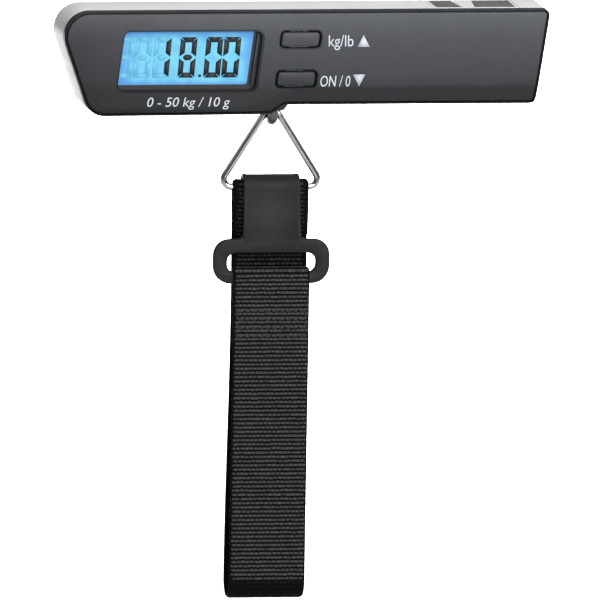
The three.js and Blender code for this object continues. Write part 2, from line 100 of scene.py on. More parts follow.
# Front outline of the bar, counter-clockwise: x, z and corner radius.
BAR = [
    (-60.9, UNDERSIDE, 7.2),
    (-2, UNDERSIDE + 0.4, 2.5),
    (2.2, RIGHT_UNDERSIDE, 2.5),
    (83.3, RIGHT_UNDERSIDE, 2),
    (87.9, TOP, 2),
    (-72.6, TOP, 8.3),
]
WALL = 1.8
LEAN = math.tan(math.radians(7.2))
WINDOW = {"x": -28.5, "z": 0.75, "width": 44.6, "height": 18.8, "radius": 2}
BUTTONS = {"unit_button": (7, 7.5), "zero_button": (5.8, -5.2)}
BUTTON = {"width": 13, "height": 5.4, "radius": 1.5}
RIM = 0.45  # width of the cover's rim around the groove
GROOVE = 0.5  # between the rim and the face panel
BEHIND_FACE = -6.0  # cutters through the face end here

CROWN, CROWN_START = 0.55, 2  # how far the face's top edge stands back, and the height where that begins
CREASE_RIGHT, CREASE_LEFT = -7.6, -14.4  # below these heights the face turns under
CREASE_CLIMB = (-12, 9)  # the crease climbs from the left height to the right one between these
TURN_UNDER = math.tan(math.radians(11))
FIRM_DEPTH = 1.5  # the face's material bends as one to this depth, and less behind it

SCREWS = [box_mm(f"case_screw_{number}") for number in range(1, 5)]
SCREW_PLACES = [((low[0] + high[0]) / 2, (low[2] + high[2]) / 2) for low, high in SCREWS]
POST_RADIUS, POST_FRONT = 2.9, 4.3
BOSS_RADIUS, BOSS_BACK = 2.2, 4
WELL_RADIUS, WELL_DEPTH, BORE_RADIUS = 2.5, 2.8, 1.4

WEB_WIDTH = 24.5
WEB = 1.4  # webbing thickness
RIB_PITCH = 1.36
RIB_DEPTH = 0.26

# ---- Outlines, in millimetres ----


def corner_frame(corners, index):
    """The corner's place, the directions to its neighbours, their bisector, half angle and bend."""
    place = Vector(corners[index][:2])
    before = (Vector(corners[index - 1][:2]) - place).normalized()
    after = (Vector(corners[(index + 1) % len(corners)][:2]) - place).normalized()
    half = math.acos(max(-1, min(1, before.dot(after)))) / 2
    concave = before.x * after.y - before.y * after.x > 0
    return place, before, (before + after).normalized(), half, concave


def inset_corners(corners, inset):
    """The corners moved inwards, with concentric radii."""
    moved = []
    for index, (_, _, radius) in enumerate(corners):
        place, _, bisector, half, concave = corner_frame(corners, index)
        inward = -1 if concave else 1
        place = place + bisector * (inward * inset / math.sin(half))
        moved.append((place.x, place.y, max(radius - inward * inset, 0.15)))
    return moved


def outline(corners, inset=0.0, steps=10):
    """Points of the rounded polygon, moved inwards by an inset."""
    corners = inset_corners(corners, inset)
    points = []
    for index, (_, _, radius) in enumerate(corners):
        place, before, bisector, half, concave = corner_frame(corners, index)
        centre = place + bisector * (radius / math.sin(half))
        spoke = place + before * (radius / math.tan(half)) - centre
        turn = (math.pi - 2 * half) * (-1 if concave else 1)
        for step in range(steps + 1):
            angle = turn * step / steps
            cosine, sine = math.cos(angle), math.sin(angle)
            points.append(
                (centre.x + spoke.x * cosine - spoke.y * sine, centre.y + spoke.x * sine + spoke.y * cosine)
            )
    return points


def leaning(x, z, width, height, radius):
    """Corners of a rectangle whose upright sides lean to the right."""
    return [
        (x + side * width / 2 + level * height / 2 * LEAN, z + level * height / 2, radius)
        for side, level in ((-1, -1), (1, -1), (1, 1), (-1, 1))
    ]


def rounded_edge(front, back, front_round=0.0, back_round=0.0, steps=6):
    """Pairs of inset and depth that run round the front edge, along the side and round the back."""
    pairs = []
    for step in range(steps + 1):
        angle = math.pi / 2 * step / steps
        if front_round:
            inset = front_round * (1 - math.sin(angle))
            pairs.append((inset, front + front_round * (1 - math.cos(angle))))
    if not front_round:
        pairs.append((0, front))
    if not back_round:
        pairs.append((0, back))
    for step in range(steps + 1):
        angle = math.pi / 2 * step / steps
        if back_round:
            inset = back_round * (1 - math.cos(angle))
            pairs.append((inset, back - back_round * (1 - math.sin(angle))))
    return pairs


# ---- Meshes ----


def add_object(name, mesh, material=None, smooth_angle=35):
    obj = bpy.data.objects.new(name, mesh)
    bpy.context.scene.collection.objects.link(obj)
    if material:
        mesh.materials.clear()
        mesh.materials.append(material)
    shade(mesh, smooth_angle)
    return obj


def shade(mesh, angle):
    mesh.shade_smooth()
    if angle:
        mesh.set_sharp_from_angle(angle=math.radians(angle))


def from_bmesh(bm, name):
    bmesh.ops.recalc_face_normals(bm, faces=bm.faces)
    mesh = bpy.data.meshes.new(name)
    bm.to_mesh(mesh)
    bm.free()
    return mesh


def loft(name, rings, closed=False):
    """A skin over rings of the same number of points, given in millimetres."""
    bm = bmesh.new()
    rows = [[bm.verts.new(Vector(point) * MM) for point in ring] for ring in rings]
    pairs = list(zip(rows, rows[1:]))
    if closed:
        pairs.append((rows[-1], rows[0]))
    for first, second in pairs:
        for index in range(len(first)):
            after = (index + 1) % len(first)
            bm.faces.new((first[index], first[after], second[after], second[index]))
    if not closed:
        bm.faces.new(rows[0])
        bm.faces.new(rows[-1])
    return from_bmesh(bm, name)


def slab(name, corners, front, back, front_round=0.0, back_round=0.0, inset=0.0, steps=10):
    """An outline in the X-Z plane run from front to back, with rounded edges."""
    rings = [
        [(x, y, z) for x, z in outline(corners, inset + extra, steps)]
        for extra, y in rounded_edge(front, back, front_round, back_round)
    ]
    return loft(name, rings)


def block(name, x0, x1, y0, y1, z0, z1):
    rings = [[(x0, y, z0), (x1, y, z0), (x1, y, z1), (x0, y, z1)] for y in (y0, y1)]
    return loft(name, rings)


def peg(name, radius, y0, y1, x, z, sides=32, tip=None):
    """A round cutter along Y; tip is its radius at y1."""
    radii = (radius, tip if tip is not None else radius)
    rings = [
        [
            (x + r * math.cos(2 * math.pi * k / sides), y, z + r * math.sin(2 * math.pi * k / sides))
            for k in range(sides)
        ]
        for r, y in zip(radii, (y0, y1))
    ]
    return loft(name, rings)


def carve(obj, meshes, operation="DIFFERENCE", smooth_angle=35):
    """Cuts the meshes away from an object, or joins them to it, and keeps the result as its mesh."""
    materials = list(obj.data.materials)
    tools = []
    for mesh in meshes:
        tool = bpy.data.objects.new("tool", mesh)
        bpy.context.scene.collection.objects.link(tool)
        modifier = obj.modifiers.new("cut", "BOOLEAN")
        modifier.operation = operation
        modifier.solver = "EXACT"
        modifier.object = tool
        tools.append(tool)
    graph = bpy.context.evaluated_depsgraph_get()
    result = bpy.data.meshes.new_from_object(obj.evaluated_get(graph))
    obj.modifiers.clear()
    obj.data = result
    result.materials.clear()
    for material in materials:
        result.materials.append(material)
    for tool in tools:
        bpy.data.objects.remove(tool)
    shade(result, smooth_angle)
    return obj


def smooth(value, start, end):
    share = min(max((value - start) / (end - start), 0), 1)
    return share * share * (3 - 2 * share)


def relief(x, z):
    """How far the face stands back: a slight crown, and a lower part that turns under."""
    above = max(z - CROWN_START, 0) / (TOP - CROWN_START)
    crease = CREASE_LEFT + (CREASE_RIGHT - CREASE_LEFT) * smooth(x, *CREASE_CLIMB)
    below = max(crease - z, 0)
    return CROWN * above**2 + TURN_UNDER * below * min(below, 1)


def crown(obj, spacing=0.6):
    """Bends the front of a piece to the face's relief, after slicing it so that it can bend."""
    bm = bmesh.new()
    bm.from_mesh(obj.data)
    if spacing:
        count = int((TOP - UNDERSIDE) / spacing)
        planes = [((0, 0, 1), UNDERSIDE + spacing * step) for step in range(1, count)]
        planes += [((1, 0, 0), CREASE_CLIMB[0] - 1 + 1.5 * step) for step in range(16)]
        for normal, level in planes:
            geometry = bm.verts[:] + bm.edges[:] + bm.faces[:]
            place = Vector(normal) * level * MM
            bmesh.ops.bisect_plane(bm, geom=geometry, plane_co=place, plane_no=normal, dist=1e-7)
    for vertex in bm.verts:
        y = vertex.co.y / MM
        share = min(max((SEAM_BACK - y) / (SEAM_BACK - FRONT - FIRM_DEPTH), 0), 1)
        vertex.co.y += relief(vertex.co.x / MM, vertex.co.z / MM) * share * MM
    bm.to_mesh(obj.data)
    bm.free()
    shade(obj.data, 35)
    return obj


# ---- Materials ----


def principled(name):
    material = bpy.data.materials.new(name)
    material.use_nodes = True
    shader = material.node_tree.nodes["Principled BSDF"]
    return material, material.node_tree.nodes, material.node_tree.links, shader


def noise_texture(nodes, links, scale, detail=3.0, stretch=(1, 1, 1)):
    place = nodes.new("ShaderNodeTexCoord")
    mapping = nodes.new("ShaderNodeMapping")
    mapping.inputs["Scale"].default_value = stretch
    texture = nodes.new("ShaderNodeTexNoise")
    texture.inputs["Scale"].default_value = scale
    texture.inputs["Detail"].default_value = detail
    links.new(place.outputs["Object"], mapping.inputs["Vector"])
    links.new(mapping.outputs["Vector"], texture.inputs["Vector"])
    return texture


def ramp(nodes, links, factor, stops):
    node = nodes.new("ShaderNodeValToRGB")
    elements = node.color_ramp.elements
    while len(elements) < len(stops):
        elements.new(0.5)
    for element, (position, color) in zip(elements, stops):
        element.position = position
        element.color = (*color, 1)
    links.new(factor, node.inputs["Fac"])
    return node


def spread(nodes, links, factor, low, high, from_low=0.3, from_high=0.7):
    node = nodes.new("ShaderNodeMapRange")
    node.inputs["From Min"].default_value = from_low
    node.inputs["From Max"].default_value = from_high
    node.inputs["To Min"].default_value = low
    node.inputs["To Max"].default_value = high
    links.new(factor, node.inputs["Value"])
    return node.outputs["Result"]


def surface(
    name,
    low,
    high,
    roughness,
    grain=9000,
    grain_depth=0.02,
    metallic=0.0,
    specular=0.5,
    coat=0.0,
    stretch=(1, 1, 1),
    cloud=120,
):
    """A material with soft colour clouds, a fine grain in its bump and a varying roughness."""
    material, nodes, links, shader = principled(name)
    clouds = noise_texture(nodes, links, cloud)
    color = ramp(nodes, links, clouds.outputs["Fac"], [(0.3, low), (0.7, high)])
    links.new(color.outputs["Color"], shader.inputs["Base Color"])
    patches = noise_texture(nodes, links, cloud * 3)
    rough = spread(nodes, links, patches.outputs["Fac"], roughness * 0.9, roughness * 1.12)
    links.new(rough, shader.inputs["Roughness"])
    fine = noise_texture(nodes, links, grain, detail=2, stretch=stretch)
    bump = nodes.new("ShaderNodeBump")
    bump.inputs["Strength"].default_value = 0.35
    bump.inputs["Distance"].default_value = grain_depth * MM
    links.new(fine.outputs["Fac"], bump.inputs["Height"])
    links.new(bump.outputs["Normal"], shader.inputs["Normal"])
    shader.inputs["Metallic"].default_value = metallic
    shader.inputs["Specular IOR Level"].default_value = specular
    shader.inputs["Coat Weight"].default_value = coat
    return material


def painted_face_shade(material):
    """Paints light and shade into the face's colour: a painted highlight towards the top of the bar, and
    painted shade towards its underside and towards its rounded end.

    Each level is a share of the bar's height and how bright the colour is there.
    """
    nodes, links = material.node_tree.nodes, material.node_tree.links
    place, parts = nodes.new("ShaderNodeTexCoord"), nodes.new("ShaderNodeSeparateXYZ")
    links.new(place.outputs["Object"], parts.inputs["Vector"])
    height = spread(nodes, links, parts.outputs["Z"], 0, 1, UNDERSIDE * MM, TOP * MM)
    # painted highlight and shade: these levels make the face brighter towards its top and darker towards its
    # underside
    levels = [(0.0, 0.3), (0.24, 0.38), (0.31, 0.6), (0.36, 0.74)]
    levels += [(0.55, 0.95), (0.74, 1.08), (0.94, 1.5), (1.0, 1.55)]
    brightest = levels[-1][1]
    down = ramp(nodes, links, height, [(share, (level / brightest,) * 3) for share, level in levels])
    # painted shade: the face darkens towards its rounded left end
    along = spread(nodes, links, parts.outputs["X"], 0.6, 1.0, -66 * MM, -28 * MM)
    both, scaled = nodes.new("ShaderNodeVectorMath"), nodes.new("ShaderNodeVectorMath")
    both.operation, scaled.operation = "SCALE", "MULTIPLY"
    links.new(down.outputs["Color"], both.inputs[0])
    links.new(along, both.inputs["Scale"])
    shader = nodes["Principled BSDF"]
    links.new(shader.inputs["Base Color"].links[0].from_socket, scaled.inputs[0])
    links.new(both.outputs["Vector"], scaled.inputs[1])
    links.new(scaled.outputs["Vector"], shader.inputs["Base Color"])


def lit_display():
    """Blue backlight: pale in the middle, deeper towards the edges, with the light guide's mottling."""
    material, nodes, links, shader = principled("lit display")
    place = nodes.new("ShaderNodeTexCoord")
    parts = nodes.new("ShaderNodeSeparateXYZ")
    links.new(place.outputs["Object"], parts.inputs["Vector"])

    def ease(output, near, far):
        node = nodes.new("ShaderNodeMapRange")
        node.interpolation_type = "SMOOTHSTEP"
        node.inputs["From Min"].default_value = near * MM
        node.inputs["From Max"].default_value = far * MM
        links.new(output, node.inputs["Value"])
        return node.outputs["Result"]

    def product(first, second):
        node = nodes.new("ShaderNodeMath")
        node.operation = "MULTIPLY"
        links.new(first, node.inputs[0])
        links.new(second, node.inputs[1])
        return node.outputs[0]

    z = parts.outputs["Z"]
    across = product(ease(parts.outputs["X"], -53.5, -44), ease(parts.outputs["X"], -6.2, -14))
    up = product(ease(z, -8.2, -5.2), ease(z, 11.4, 6.5))
    middle = product(across, up)
    mottle = noise_texture(nodes, links, 230, detail=4)
    patch = product(middle, spread(nodes, links, mottle.outputs["Fac"], 0.55, 1.15))
    stops = [
        (0.0, (0.05, 0.15, 0.38)),
        (0.3, (0.07, 0.21, 0.41)),
        (0.75, (0.115, 0.37, 0.45)),
        (1.0, (0.14, 0.41, 0.47)),
    ]
    color = ramp(nodes, links, patch, stops)
    links.new(color.outputs["Color"], shader.inputs["Base Color"])
    shader.inputs["Emission Color"].default_value = (0.09, 0.36, 0.78, 1)
    shader.inputs["Emission Strength"].default_value = 0.38
    shader.inputs["Roughness"].default_value = 0.5
    shader.inputs["Specular IOR Level"].default_value = 0.2
    return material


def webbing_material():
    """Black ribbed webbing whose colour carries painted light: a painted highlight on top of the ribs and
    painted shade in the grooves, broken up by the threads.
    """
    material, nodes, links, shader = principled("ribbed webbing")
    # the rib attribute holds the ribs' painted light and shade, worked out in webbing()
    height = nodes.new("ShaderNodeAttribute")
    height.attribute_name = "rib"
    threads = noise_texture(nodes, links, 900, detail=3, stretch=(1.0, 1.0, 2.2))
    mix = nodes.new("ShaderNodeMath")
    mix.operation = "MULTIPLY"
    links.new(height.outputs["Fac"], mix.inputs[0])
    links.new(spread(nodes, links, threads.outputs["Fac"], 0.8, 1.15), mix.inputs[1])
    # painted shade in the grooves, and a painted highlight on the crests
    groove, slope, crest = (0.001, 0.001, 0.0015), (0.004, 0.004, 0.005), (0.062, 0.062, 0.066)
    stops = [(0.0, groove), (0.45, slope), (1.0, crest)]
    color = ramp(nodes, links, mix.outputs[0], stops)
    links.new(color.outputs["Color"], shader.inputs["Base Color"])
    fibre = noise_texture(nodes, links, 3800, detail=4, stretch=(0.6, 1, 1))
    bump = nodes.new("ShaderNodeBump")
    bump.inputs["Strength"].default_value = 0.7
    bump.inputs["Distance"].default_value = 0.12 * MM
    links.new(fibre.outputs["Fac"], bump.inputs["Height"])
    links.new(bump.outputs["Normal"], shader.inputs["Normal"])
    links.new(spread(nodes, links, fibre.outputs["Fac"], 0.6, 0.9), shader.inputs["Roughness"])
    shader.inputs["Specular IOR Level"].default_value = 0.06
    return material


SILVER = surface(
    "silver paint", (0.605, 0.61, 0.615), (0.62, 0.625, 0.63), 0.42, 15000, 0.01, specular=0.12
)
CHARCOAL = surface(
    "charcoal satin", (0.060, 0.065, 0.074), (0.068, 0.073, 0.082), 0.42, 12000, 0.012, specular=0.22
)
# the face's colour carries painted light: a painted highlight at the top, and painted shade below and towards
# the rounded end
painted_face_shade(CHARCOAL)
# dark grey of the battery lid's grips: partly their own colour, partly painted shade in place of concave
# finger scoops
GRIP_AND_SCOOP_SHADE = surface(
    "matt charcoal", (0.095, 0.097, 0.100), (0.130, 0.132, 0.135), 0.8, 8000, 0.02, specular=0.08
)
COVER = surface(
    "charcoal rim", (0.010, 0.010, 0.011), (0.016, 0.016, 0.017), 0.45, 12000, 0.008, specular=0.2
)
BLACK = surface("black moulding", (0.004, 0.004, 0.004), (0.008, 0.008, 0.008), 0.45, 8000, 0.02)
BUCKLE = surface(
    "buckle moulding", (0.013, 0.013, 0.0135), (0.017, 0.017, 0.0175), 0.5, 5200, 0.03, specular=0.16
)
CHROME = surface("polished wire", (0.44, 0.435, 0.43), (0.54, 0.535, 0.53), 0.07, 3000, 0.004, 1.0)
DARK_STEEL = surface(
    "worn eye steel", (0.09, 0.075, 0.07), (0.2, 0.18, 0.17), 0.28, 3000, 0.01, 1.0
)
STEEL = surface("zinc plated steel", (0.45, 0.46, 0.47), (0.58, 0.59, 0.60), 0.3, 4000, 0.01, 1.0)
ALUMINIUM = surface(
    "milled aluminium", (0.60, 0.61, 0.62), (0.68, 0.69, 0.70), 0.36, 1600, 0.02, 1.0, stretch=(0.1, 1, 4)
)
BOARD = surface("solder mask", (0.012, 0.12, 0.04), (0.02, 0.17, 0.06), 0.35, 2600, 0.02, coat=0.3)
FOIL = surface("amber film", (0.55, 0.30, 0.06), (0.66, 0.40, 0.10), 0.3, 3000, 0.01, coat=0.4)
DIFFUSER = surface("light guide", (0.72, 0.80, 0.88), (0.80, 0.87, 0.93), 0.5, 3000, 0.02)
RED = surface("red insulation", (0.36, 0.01, 0.01), (0.44, 0.02, 0.015), 0.4, 4000, 0.01)
PRINT = surface("white print", (0.47, 0.50, 0.56), (0.55, 0.58, 0.64), 0.5, 6000, 0.02)
INK = surface(
    "display ink", (0.016, 0.021, 0.024), (0.024, 0.029, 0.032), 0.5, 6000, 0.005, specular=0.3
)
GHOST = surface("faint segments", (0.055, 0.19, 0.29), (0.065, 0.21, 0.31), 0.5, 6000, 0.005)
ghost_shader = GHOST.node_tree.nodes["Principled BSDF"]
ghost_shader.inputs["Emission Color"].default_value = (0.13, 0.45, 0.70, 1)
ghost_shader.inputs["Emission Strength"].default_value = 0.7
THREAD = surface("sewing thread", (0.006, 0.006, 0.007), (0.02, 0.02, 0.022), 0.6, 5000, 0.05)
LIT = lit_display()
WEBBING = webbing_material()

# ---- Bar ----


def window_cutter(name, flare=0.7):
    """A cutter for the window: straight behind, opening out in a chamfer at the front."""
    corners = leaning(**WINDOW)
    pairs = [(-flare - 1, FRONT - 1), (-flare, FRONT), (0, FRONT + flare), (0, BEHIND_FACE)]
    rings = [[(x, y, z) for x, z in outline(corners, inset)] for inset, y in pairs]
    return loft(name, rings)


def button_cutter(name, place, flare=0.45, grow=0.15):
    """A cutter for a button's hole, a little larger than the button, with a chamfer at the front."""
    corners = leaning(*place, **BUTTON)
    pairs = [(-flare - grow - 1, FRONT - 1), (-flare - grow, FRONT)]
    pairs += [(-grow, FRONT + flare), (-grow, BEHIND_FACE)]
    rings = [[(x, y, z) for x, z in outline(corners, inset, 8)] for inset, y in pairs]
    return loft(name, rings)


def rear_shell():
    """The silver shell, hollow, with its door opening, the nest's opening and the wells of its screws."""
    body = slab("shell", BAR, SEAM_FRONT, BACK, front_round=0.25, back_round=2.4, steps=14)
    shell = add_object("bar_rear_shell", body, SILVER)
    door_low, door_high = box_mm("battery_cover")
    cutters = [slab("inside", BAR, SEAM_FRONT - 1, BACK - WALL, inset=WALL)]
    cutters.append(
        block(
            "door_opening",
            door_low[0] - GAP / 2,
            door_high[0] + GAP / 2,
            door_low[1] - GAP / 2,
            door_high[1] + GAP / 2,
            TOP - WALL - 1,
            TOP + 1,
        )
    )
    shroud_low, shroud_high = box_mm("hook_shroud")
    cutters.append(
        block(
            "shroud_opening",
            shroud_low[0] - 0.4,
            shroud_high[0] + 0.4,
            shroud_low[1] - 0.2,
            shroud_high[1] + 0.2,
            UNDERSIDE - 3,
            shroud_high[2] + 1,
        )
    )
    carve(shell, cutters)
    posts = []
    bores = []
    for number, (x, z) in enumerate(SCREW_PLACES):
        posts.append(peg(f"post{number}", POST_RADIUS, POST_FRONT, BACK - 1, x, z))
        well = (WELL_RADIUS, BACK - WELL_DEPTH, BACK + 0.1)
        bores.append(peg(f"head{number}", *well, x, z, tip=POST_RADIUS))
        bores.append(peg(f"shank{number}", BORE_RADIUS, POST_FRONT - 1.3, BACK - 1, x, z, 16))
    carve(shell, posts, "UNION")
    carve(shell, bores)
    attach(shell, "handle")
    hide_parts("rear_shell")


def front_cover():
    """The dark cover: a tray for the face panel in front, hollow behind, with a boss for each screw."""
    body = slab("cover", BAR, FRONT, SEAM_BACK, front_round=RIM - 0.05, back_round=0.15, steps=14)
    cover = add_object("bar_front_cover", body, COVER)
    floor = PANEL_BACK + GAP
    cutters = [
        slab("recess", BAR, FRONT - 1, floor, inset=RIM, steps=14),
        slab("hollow", BAR, floor + 1.6, SEAM_BACK + 1, inset=WALL, steps=14),
        slab("window_way", leaning(**WINDOW), FRONT, SEAM_BACK),
    ]
    for name, place in BUTTONS.items():
        cutters.append(slab(f"{name}_way", leaning(*place, **BUTTON), FRONT, SEAM_BACK, inset=-0.15))
    carve(cover, cutters)
    bosses = [
        peg(f"boss{number}", BOSS_RADIUS, floor + 1, BOSS_BACK, x, z)
        for number, (x, z) in enumerate(SCREW_PLACES, 1)
    ]
    carve(cover, bosses, "UNION")
    crown(cover)
    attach(cover, "handle")
    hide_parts("front_cover")


def face_panel():
    body = slab("panel", BAR, FRONT + 0.03, PANEL_BACK, front_round=0.35, inset=RIM + GROOVE, steps=14)
    panel = add_object("bar_face_panel", body, CHARCOAL)
    cutters = [window_cutter("window_cut")]
    cutters += [button_cutter(f"{name}_cut", place) for name, place in BUTTONS.items()]
    carve(panel, cutters)
    crown(panel)
    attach(panel, "handle")
    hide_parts("face_panel")


def buttons():
    """Two caps with softly domed fronts, a little below the face, each with a stem to its switch."""
    clearance, crest_inset = 0.42, 1.9
    for name, place in BUTTONS.items():
        corners = leaning(*place, **BUTTON)
        rings = []
        for inset, y in rounded_edge(FRONT + 0.4, FRONT + 3.4, front_round=0.5, back_round=0.1):
            rings.append([(x, y, z) for x, z in outline(corners, inset + clearance, 8)])
        crest = [(x, FRONT + 0.3, z) for x, z in outline(corners, crest_inset, 8)]
        cap = add_object(f"{name}_cap", loft(f"{name}_cap", [crest, *rings]), CHARCOAL)
        stem = peg(f"{name}_stem", 1.5, FRONT + 3, FRONT + 4.05, *place)
        carve(cap, [stem], "UNION")
        crown(cap, spacing=0)
        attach(cap, name)
        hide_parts(name)


def upright_prism(name, corners, inset, top, bottom):
    """A prism along Z over rounded corners in the X-Y plane."""
    rings = [[(x, y, z) for x, y in outline(corners, inset, 5)] for z in (top, bottom)]
    return loft(name, rings)


def battery_door():
    """A flush silver lid with a dark finger grip on each side of a waisted rib. The grips' dark grey is
    partly their own colour and partly painted shade of concave finger scoops.
    """
    (left, front, bottom), (right, back, top) = box_mm("battery_cover")
    rib = (left + right) / 2 - 2.4
    side_margin, front_margin, back_margin = 0.9, 0.5, 0.7
    near, far = front + front_margin, back - back_margin
    corners = [(left, front, 0.8), (right, front, 0.8), (right, back, 0.8), (left, back, 0.8)]
    rings = []
    for inset, depth in rounded_edge(0, top - bottom, front_round=0.2):
        rings.append([(x, y, top - depth) for x, y in outline(corners, inset, 5)])
    lid = add_object("battery_lid", loft("battery_lid", rings), SILVER)
    for side, side_name, edge in ((-1, "left", left + side_margin), (1, "right", right - side_margin)):
        shape = [(rib + side * 3.6, far, 0.6), (rib + side * 1.9, near, 0.6)]
        shape += [(edge, near, 1.2), (edge, far, 1.2)]
        if side < 0:
            shape.reverse()
        carve(lid, [upright_prism("scoop", shape, 0.0, top + 1, top - 0.6)])
        # a flat insert whose dark colour also paints the shade of a concave finger scoop
        insert = upright_prism("scoop", shape, 0.2, top - 0.1, top - 0.8)
        grip = add_object(f"battery_lid_grip_{side_name}", insert, GRIP_AND_SCOOP_SHADE)
        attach(grip, "battery_door")
    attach(lid, "battery_door")
    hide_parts("battery_cover")


def hook_shroud():
    """The black nest under the bar, with a rounded way through it for the eye and the ring."""
    low, high = box_mm("hook_shroud")
    corners = [
        (low[0], low[2], 0.9),
        (2.9, low[2], 0.9),
        (high[0], RIGHT_UNDERSIDE, 0.6),
        (high[0], high[2], 0.4),
        (low[0], high[2], 0.4),
    ]
    shroud = add_object("hook_nest", slab("hook_nest", corners, low[1], high[1], 0.5, 0.5), BLACK)
    eye_way = [(-2.2, -5.5, 1.2), (2.2, -5.5, 1.2), (2.2, 5.5, 1.2), (-2.2, 5.5, 1.2)]
    levels = ((-0.6, low[2] - 0.1), (0, low[2] + 0.5), (0, high[2] + 1))
    rings = [[(x, y, z) for x, y in outline(eye_way, inset)] for inset, z in levels]
    carve(shroud, [loft("eye_way", rings)])
    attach(shroud, "handle")
    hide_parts("hook_shroud")


rear_shell()
front_cover()
face_panel()
buttons()
battery_door()
hook_shroud()

# ---- Display ----

DISPLAY_FRONT = box_mm("display_glass")[0][1]
DIGIT_LEAN = math.tan(math.radians(4.5))
DIGIT = {"width": 5.4, "height": 13.0, "stroke": 1.65, "gap": 0.26}
DIGIT_BOTTOM = -4.95
LIT_DIGITS = {-34.6: "bc", -26.3: "abcdefg", -18.0: "abcdef", -12.2: "abcdef"}  # by right edge
UNLIT_DIGITS = {-40.8: "abcdefg", -46.6: "abcdefg", -34.6: "adefg"}
POINT_X, POINT_RADIUS = -25.0, 0.5


def flat_plate(bm, points, front, back):
    """Adds a thin plate with the given X-Z outline to a bmesh."""
    near = [bm.verts.new((x * MM, front * MM, z * MM)) for x, z in points]
    far = [bm.verts.new((x * MM, back * MM, z * MM)) for x, z in points]
    bm.faces.new(near)
    bm.faces.new(far)
    for index in range(len(points)):
        after = (index + 1) % len(points)
        bm.faces.new((near[index], near[after], far[after], far[index]))


def segments(width, height, stroke, gap):
    """Outlines of the seven segments of one digit, by letter, from its lower left corner."""
    middle = height / 2
    half_bar = stroke * 0.55

    def level_bar(z, up):
        inner = stroke + gap * 0.4
        return [(gap, z), (width - gap, z), (width - inner, z + up * stroke), (inner, z + up * stroke)]

    def post(x, inward, low, high):
        inner, slope = x + inward * stroke, stroke * 0.75 + gap
        return [(x, low + gap), (x, high - gap), (inner, high - slope), (inner, low + slope)]

    def middle_bar():
        tip, shoulder = stroke * 0.5 + gap, stroke + gap
        upper = [(tip, middle), (shoulder, middle + half_bar), (width - shoulder, middle + half_bar)]
        lower = [(width - tip, middle), (width - shoulder, middle - half_bar), (shoulder, middle - half_bar)]
        return upper + lower

    return {
        "a": level_bar(height, -1),
        "d": level_bar(0, 1),
        "g": middle_bar(),
        "f": post(0, 1, middle, height),
        "e": post(0, 1, 0, middle),
        "b": post(width, -1, middle, height),
        "c": post(width, -1, 0, middle),
    }


def digit(bm, right, letters, depth):
    """Adds a digit's named segments, with its right edge at half height at the given place."""
    shapes = segments(**DIGIT)
    left = right - DIGIT["width"]
    for letter in letters:
        points = []
        for x, z in shapes[letter]:
            points.append((left + x + (z - DIGIT["height"] / 2) * DIGIT_LEAN, DIGIT_BOTTOM + z))
        flat_plate(bm, points, depth, depth + 0.05)


def display():
    """A dark cell with the lit area on it, an upright edge beside that, and the segments in front."""
    (x0, y0, z0), (x1, y1, z1) = box_mm("display_glass")
    cell = add_object("display_cell", block("display_cell", x0, x1, y0, y1, z0, z1), BLACK)
    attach(cell, "handle")
    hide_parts("display_glass")
    lit_corners = leaning(x=-30.0, z=2.4, width=42.8, height=19.2, radius=1.0)
    sheet = slab("display_light", lit_corners, DISPLAY_FRONT - 0.12, DISPLAY_FRONT - 0.02)
    lit = add_object("display_light", sheet, LIT)
    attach(lit, "handle")
    edge_corners = leaning(x=-7.4, z=1.2, width=0.45, height=16.5, radius=0.2)
    rib = slab("display_edge", edge_corners, DISPLAY_FRONT - 1.6, DISPLAY_FRONT)
    edge = add_object("display_edge", rib, CHARCOAL)
    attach(edge, "handle")
    numbers, faint = bmesh.new(), bmesh.new()
    for right, letters in LIT_DIGITS.items():
        digit(numbers, right, letters, DISPLAY_FRONT - 0.2)
    point = [
        (POINT_X + POINT_RADIUS * math.cos(angle), DIGIT_BOTTOM + 0.6 + POINT_RADIUS * math.sin(angle))
        for angle in (step * math.pi / 8 for step in range(16))
    ]
    flat_plate(numbers, point, DISPLAY_FRONT - 0.2, DISPLAY_FRONT - 0.15)
    for right, letters in UNLIT_DIGITS.items():
        digit(faint, right, letters, DISPLAY_FRONT - 0.16)
    for name, bm, material in (("display_digits", numbers, INK), ("display_unlit_digits", faint, GHOST)):
        piece = add_object(name, from_bmesh(bm, name), material, 0)
        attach(piece, "handle")


display()

# ---- Printed marks: generic words and numbers ----


def print_mesh(name, text, size, left, base, width=None, lean=0.0):
    """Text as a thin raised print that follows the face, stretched to a width and leaned to the right."""
    curve = bpy.data.curves.new(name, "FONT")
    curve.body = text
    curve.size = size * MM
    curve.extrude = 0.02 * MM
    curve.resolution_u = 4
    carrier = bpy.data.objects.new(name, curve)
    bpy.context.scene.collection.objects.link(carrier)
    graph = bpy.context.evaluated_depsgraph_get()
    mesh = bpy.data.meshes.new_from_object(carrier.evaluated_get(graph))
    bpy.data.objects.remove(carrier)
    xs = [vertex.co.x for vertex in mesh.vertices]
    start, span = min(xs), max(xs) - min(xs)
    stretch = width * MM / span if width else 1
    for vertex in mesh.vertices:
        x, up, out = vertex.co
        x, z = left * MM + (x - start) * stretch + up * lean, base * MM + up
        vertex.co = (x, (FRONT + 0.02 + relief(x / MM, z / MM)) * MM - out, z)
    return mesh


def triangle(bm, x, z, width, height, up):
    """Adds a printed triangle that points up or down and follows the face."""
    tip = height / 2 if up else -height / 2
    points = [(x - width / 2, z - tip), (x + width / 2, z - tip), (x, z + tip)]
    flat_plate(bm, points, FRONT, FRONT + 0.05)
    for vertex in bm.verts:
        vertex.co.y += relief(vertex.co.x / MM, vertex.co.z / MM) * MM


